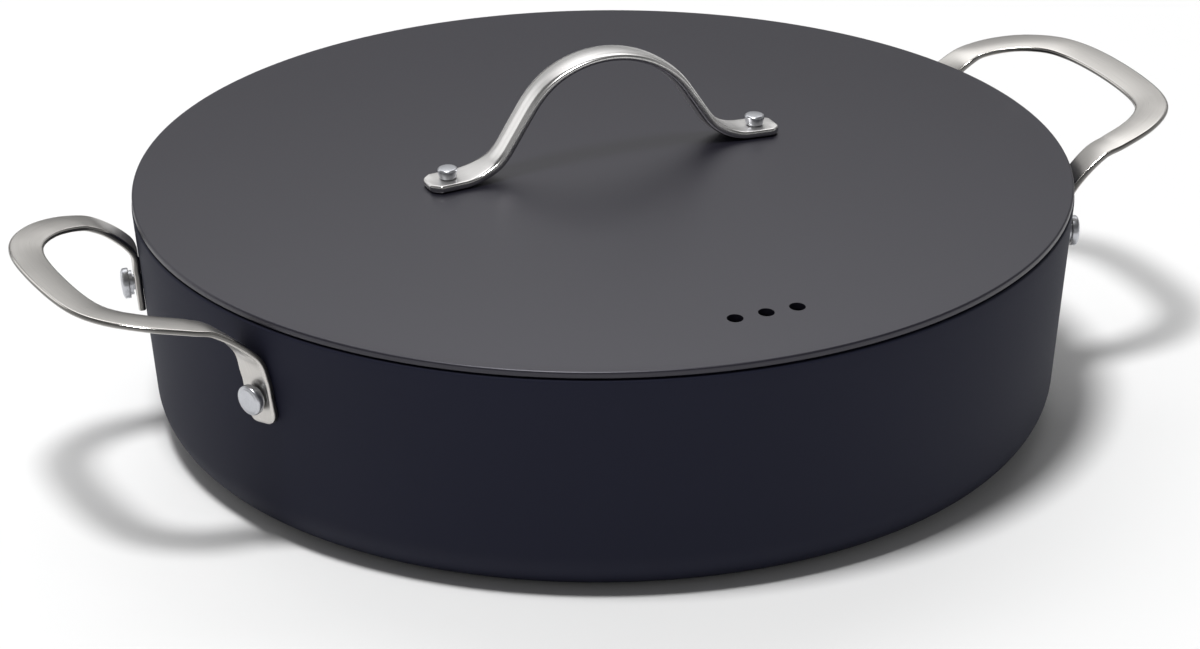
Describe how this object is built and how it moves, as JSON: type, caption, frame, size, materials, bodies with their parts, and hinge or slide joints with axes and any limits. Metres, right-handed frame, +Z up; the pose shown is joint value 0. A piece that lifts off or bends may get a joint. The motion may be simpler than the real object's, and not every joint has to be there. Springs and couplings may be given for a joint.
{
  "type": "lidded saute pan",
  "caption": "Wide shallow pan with a leaning wall, riveted strap loop handles on opposite sides and a loose domed lid with vent holes and a riveted bridge handle.",
  "frame": {"origin": "on the table under the centre of the pan", "axes": "+X through the right loop handle, -Y to the side with the lid's vents, +Z up"},
  "size_m": [0.3972, 0.3062, 0.126],
  "materials": {
    "pan_anodised": "satin hard-anodised, charcoal with a faint blue cast, very fine grain",
    "lid_anodised": "satin hard-anodised dark grey with a fine speckle, paler where it turns to the light",
    "handle_steel": "stainless steel, brushed along the strap, polished rounded edges",
    "rivet_metal": "bright satin metal with a softly domed head"
  },
  "bodies": {
    "pan": {"pan_body": "pan_anodised", "handle_left": "handle_steel", "handle_right": "handle_steel", "rivet_left_front": "rivet_metal", "rivet_left_back": "rivet_metal", "rivet_right_front": "rivet_metal", "rivet_right_back": "rivet_metal"},
    "lid": {"lid_shell": "lid_anodised", "lid_handle": "handle_steel", "lid_rivet_left": "rivet_metal", "lid_rivet_right": "rivet_metal"}
  },
  "joints": [
    {"name": "lid_lift", "type": "slide", "parent": "pan", "child": "lid", "axis": [0, 0, 1], "range_m": [0, 0.15]}
  ]
}
